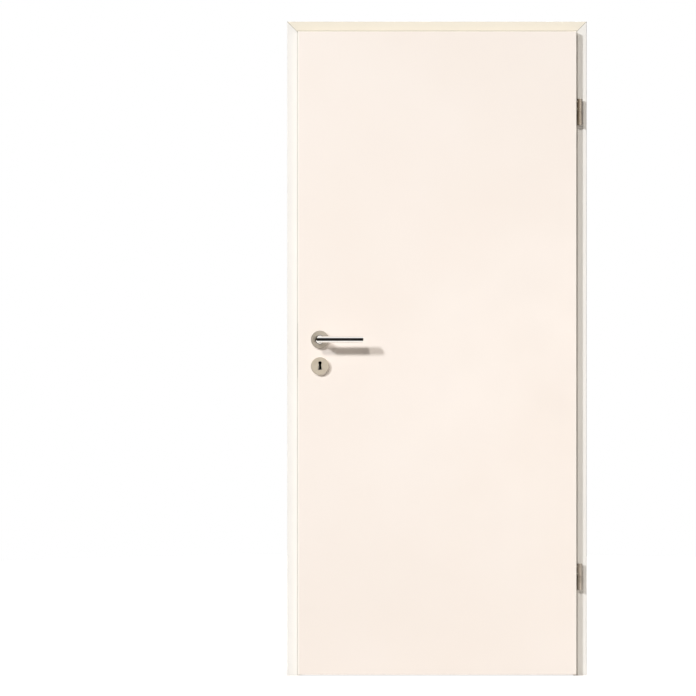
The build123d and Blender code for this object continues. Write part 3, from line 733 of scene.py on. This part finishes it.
def makeKeyGuides(values):
    # black sleeve behind each key rose, open at the rose and slotted at the lock; its black also paints the
    # shade seen in the keyhole
    wall, halfSlot = values["wall"], values["slotHeight"] / 2
    for name, (mouthY, inward, length) in values["mouths"].items():
        mesh = bmesh.new()
        bmesh.ops.create_grid(mesh, x_segments=1, y_segments=1, size=0.5)  # 1 by 1, as size is half a side
        bmesh.ops.scale(mesh, vec=(values["width"], values["height"], 1), verts=mesh.verts)
        mouth = mesh.faces[:]
        bmesh.ops.inset_region(mesh, faces=mouth, thickness=wall, use_even_offset=True)
        sunk = bmesh.ops.extrude_face_region(mesh, geom=mouth)["geom"]
        corners = [item for item in sunk if isinstance(item, bmesh.types.BMVert)]
        floor = [item for item in sunk if isinstance(item, bmesh.types.BMFace)]
        bmesh.ops.delete(mesh, geom=mouth, context="FACES_ONLY")
        bmesh.ops.translate(mesh, vec=(0, 0, -length), verts=corners)
        border = values["width"] / 2 - wall - values["slotWidth"] / 2
        bmesh.ops.inset_region(mesh, faces=floor, thickness=border, use_even_offset=True)
        for corner in floor[0].verts:
            corner.co.y = math.copysign(halfSlot, corner.co.y)
        bmesh.ops.delete(mesh, geom=floor, context="FACES_ONLY")
        bmesh.ops.solidify(mesh, geom=mesh.faces[:], thickness=wall / 2)
        turn = Matrix.Rotation(math.radians(90 * inward), 4, "X")
        move = Matrix.Translation((door["roseX"], mouthY, door["keyZ"])) @ turn
        finishPiece(mesh, name, "blackNylonAndShade", "leaf", move)


tumblers = {
    "centre": (door["roseX"], -78.5 * mm, door["keyZ"]),
    "width": 16 * mm,
    "height": 34 * mm,
    "plates": 4,
    "plate": 1.0 * mm,
    "pitch": 1.25 * mm,
    "stagger": 1.0 * mm,
    "edge": 0.2 * mm,
}


def makeTumblers(values):
    # pack of lock tumblers in the middle of the case: what is seen in the keyhole, in a near black that
    # paints the lock's shade
    mesh = bmesh.new()
    middle = (values["plates"] - 1) / 2
    for number in range(values["plates"]):
        plate = bmesh.ops.create_cube(mesh, size=1.0)["verts"]
        bmesh.ops.scale(mesh, vec=(values["width"], values["plate"], values["height"]), verts=plate)
        shift = (0, (number - middle) * values["pitch"], number % 2 * values["stagger"])
        bmesh.ops.translate(mesh, vec=shift, verts=plate)
    bmesh.ops.bevel(mesh, geom=mesh.edges[:], offset=values["edge"], segments=1, profile=0.5,
                    affect="EDGES", material=-1)
    move = Matrix.Translation(values["centre"])
    finishPiece(mesh, "lockTumblers", "lockSteelPaintedShade", "leaf", move)


makeRoundedRims(rimRounding)
makeHingeWashers(hingeWasher)
makeGuideBushes(guideBush)
makeScrews(screw)
makeKeyGuides(keyGuide)
makeTumblers(tumblers)
print("fittings placed")


# Studio: floor, world, lamps and camera

studio = {
    "centre": (-0.43, -0.1, 1.0),
    "floorRadius": 4.6,
    "floorSegments": 96,
    "floor": "#C4C0BA",
    "floorRoughness": 0.9,
    "floorLift": 0.80,  # glow that brings the seen floor to white
    "floorShare": 0.60,  # how much of its own colour, and so of the shadow, is seen
    "floorBounce": 0.47,  # how much of it lights the door
    "litFloor": (0.95, 1.08),  # metal sees the floor only this near the door
    "farFloor": 0.03,
    "ambient": "#FFFFFF",
    "ambientLevel": 0.03,
    # what metal sees: a dark room, white low down and overhead, with a brown wall on the left and a pale
    # one on the right
    "room": ((0.10, "#FFFFFF"), (0.14, "#040404"), (0.885, "#040404"), (0.905, "#FFFFFF")),
    "walls": ((0.43, "#8F826C"), (0.475, "#000000"), (0.525, "#000000"), (0.57, "#F6F1E9")),
    "wallFade": 0.05,  # the walls stand only in front of the door, and fade out beside it
}

# a lamp of level 1 would light a front face alone to its written colour; mirrored lamps show in metal
lamps = {
    "key": {
        "level": 0.305, "tint": "#FDFBF8", "toward": (-0.31, -1.0, 0.69), "distance": 6.0,
        "angle": 7.5, "mirrored": True,
    },
    "strip": {
        "level": 0.44, "tint": "#F7FAFF", "toward": (-1.08, -1.0, 0.69), "distance": 16.0,
        "size": (1.0, 1.9), "mirrored": False,
    },
    "fill": {
        "level": 0.142, "tint": "#FFF6EE", "toward": (0.17, -1.0, -0.03), "distance": 6.5,
        "size": (0.6, 0.6), "mirrored": True,
    },
    "rim": {
        "level": 0.003, "tint": "#FFFFFF", "toward": (1.0, -0.05, 0.05), "distance": 8.0,
        "size": (0.5, 3.0), "mirrored": False,
    },
    "back": {
        "level": 0.70, "tint": "#FFFFFF", "toward": (0.5, 1.0, 0.8), "distance": 6.0,
        "angle": 40.0, "mirrored": True,
    },
}


def backgroundRays(tree):
    # two masks: rays that see the background straight, and those that see it straight, in metal or in glass
    rays = addNode(tree, "ShaderNodeLightPath")
    straight = rays["Is Camera Ray"]
    seen = addNode(tree, mathNode, {0: straight, 1: rays["Is Glossy Ray"]}, operation="MAXIMUM")[0]
    seen = addNode(tree, mathNode, {0: seen, 1: rays["Is Transmission Ray"]}, operation="MAXIMUM")[0]
    return straight, seen


def makeFloor(values):
    # matt pale floor that shows white and keeps the door's shadow
    mesh = bmesh.new()
    bmesh.ops.create_circle(mesh, cap_ends=True, radius=values["floorRadius"],
                            segments=values["floorSegments"])
    bmesh.ops.translate(mesh, vec=(values["centre"][0], 0, 0), verts=mesh.verts)
    data = bpy.data.meshes.new("studioFloor")
    mesh.to_mesh(data)
    mesh.free()
    floor = bpy.data.objects.new("studioFloor", data)
    bpy.context.scene.collection.objects.link(floor)
    material, tree, shader, place = startMaterial("studioFloor")
    straight, seen = backgroundRays(tree)
    depth = addNode(tree, "ShaderNodeSeparateXYZ", {0: place})[1]
    depth = addNode(tree, mathNode, {0: depth}, operation="ABSOLUTE")[0]
    start, end = values["litFloor"]
    near = addNode(tree, rangeNode, {0: depth, 1: start, 2: end, 3: 1.0, 4: values["farFloor"]})[0]
    lit = addNode(tree, mathNode, {0: near, 1: straight}, operation="MAXIMUM")[0]
    share = addNode(tree, mathNode, {0: lit, 1: values["floorShare"]}, operation="MULTIPLY")[0]
    share = addNode(tree, mixNode, {0: seen, 2: values["floorBounce"], 3: share}, data_type="FLOAT")[0]
    paint = linearColour(values["floor"])
    colour = addNode(tree, mixNode, {0: share, 6: black, 7: paint}, data_type="RGBA")[2]
    lift = addNode(tree, mathNode, {0: seen, 1: values["floorLift"]}, operation="MULTIPLY")[0]
    lift = addNode(tree, mathNode, {0: lift, 1: lit}, operation="MULTIPLY")[0]
    fillSockets(tree, shader, {
        "Base Color": colour, "Roughness": values["floorRoughness"],
        "Emission Color": white, "Emission Strength": lift,
    })
    data.materials.append(material)


def makeWorld(values):
    # white where it is seen, soft ambient elsewhere; metal sees the room behind the camera
    world = bpy.data.worlds.new("studio")
    world.use_nodes = True
    bpy.context.scene.world = world
    tree = world.node_tree
    straight, seen = backgroundRays(tree)
    direction = addNode(tree, "ShaderNodeTexCoord")["Generated"]
    axes = addNode(tree, "ShaderNodeSeparateXYZ", {0: direction})
    height = addNode(tree, rangeNode, {0: axes[2], 1: -1.0, 2: 1.0, 3: 0.0, 4: 1.0})[0]
    room = addNode(tree, rampNode, {0: height}, stops=values["room"])[0]
    across = addNode(tree, rangeNode, {0: axes[0], 1: -1.0, 2: 1.0, 3: 0.0, 4: 1.0})[0]
    wall = addNode(tree, rampNode, {0: across}, stops=values["walls"])[0]
    fade = values["wallFade"]
    front = addNode(tree, rangeNode, {0: axes[1], 1: -fade, 2: fade, 3: 1.0, 4: 0.0})[0]
    wall = addNode(tree, mixNode, {0: front, 6: black, 7: wall}, data_type="RGBA")[2]
    room = addNode(tree, mixNode, {0: 1.0, 6: room, 7: wall}, data_type="RGBA", blend_type="LIGHTEN")[2]
    background = addNode(tree, mixNode, {0: straight, 6: room, 7: white}, data_type="RGBA")[2]
    ambient = [channel * values["ambientLevel"] for channel in linearColour(values["ambient"])[:3]]
    colour = addNode(tree, mixNode, {0: seen, 6: (*ambient, 1), 7: background}, data_type="RGBA")[2]
    fillSockets(tree, tree.nodes["Background"], {"Color": colour})


def placeLamps(setups, centre):
    # a lamp with an angle is a sun, and one with a size a softbox
    for name, setup in setups.items():
        toward = Vector(setup["toward"]).normalized()
        facing = abs(toward.y)
        distance = setup["distance"]
        if "angle" in setup:
            data = bpy.data.lights.new(name, "SUN")
            data.angle = math.radians(setup["angle"])
            data.energy = setup["level"] * math.pi / facing
        else:
            data = bpy.data.lights.new(name, "AREA")
            data.shape = "RECTANGLE"
            data.size, data.size_y = setup["size"]
            data.energy = setup["level"] * math.pi ** 2 * distance ** 2 / facing
        data.color = linearColour(setup["tint"])[:3]
        lamp = bpy.data.objects.new(name, data)
        bpy.context.scene.collection.objects.link(lamp)
        lamp.location = Vector(centre) + toward * distance
        lamp.rotation_euler = toward.to_track_quat("Z", "Y").to_euler()
        lamp.visible_glossy = setup["mirrored"]


view = {
    "fieldWidth": 2.148,  # what the picture spans at the leaf's front face
    "distance": 8.0,
    "aimX": -704.5 * mm,
    "aimZ": 1013 * mm,
    "planeY": -106 * mm,
    "sensor": 36,
    "clipEnd": 60,
}


def placeCamera(values):
    # long lens straight at the leaf, aimed left of the door as the picture is framed
    data = bpy.data.cameras.new("camera")
    data.sensor_width = values["sensor"]
    data.lens = values["sensor"] * values["distance"] / values["fieldWidth"]
    data.clip_end = values["clipEnd"]
    camera = bpy.data.objects.new("camera", data)
    bpy.context.scene.collection.objects.link(camera)
    camera.location = (values["aimX"], values["planeY"] - values["distance"], values["aimZ"])
    camera.rotation_euler = (math.pi / 2, 0, 0)  # level, looking along y
    bpy.context.scene.camera = camera


makeFloor(studio)
makeWorld(studio)
placeLamps(lamps, studio["centre"])
placeCamera(view)
bpy.context.scene.view_settings.view_transform = "Standard"
print("studio ready")
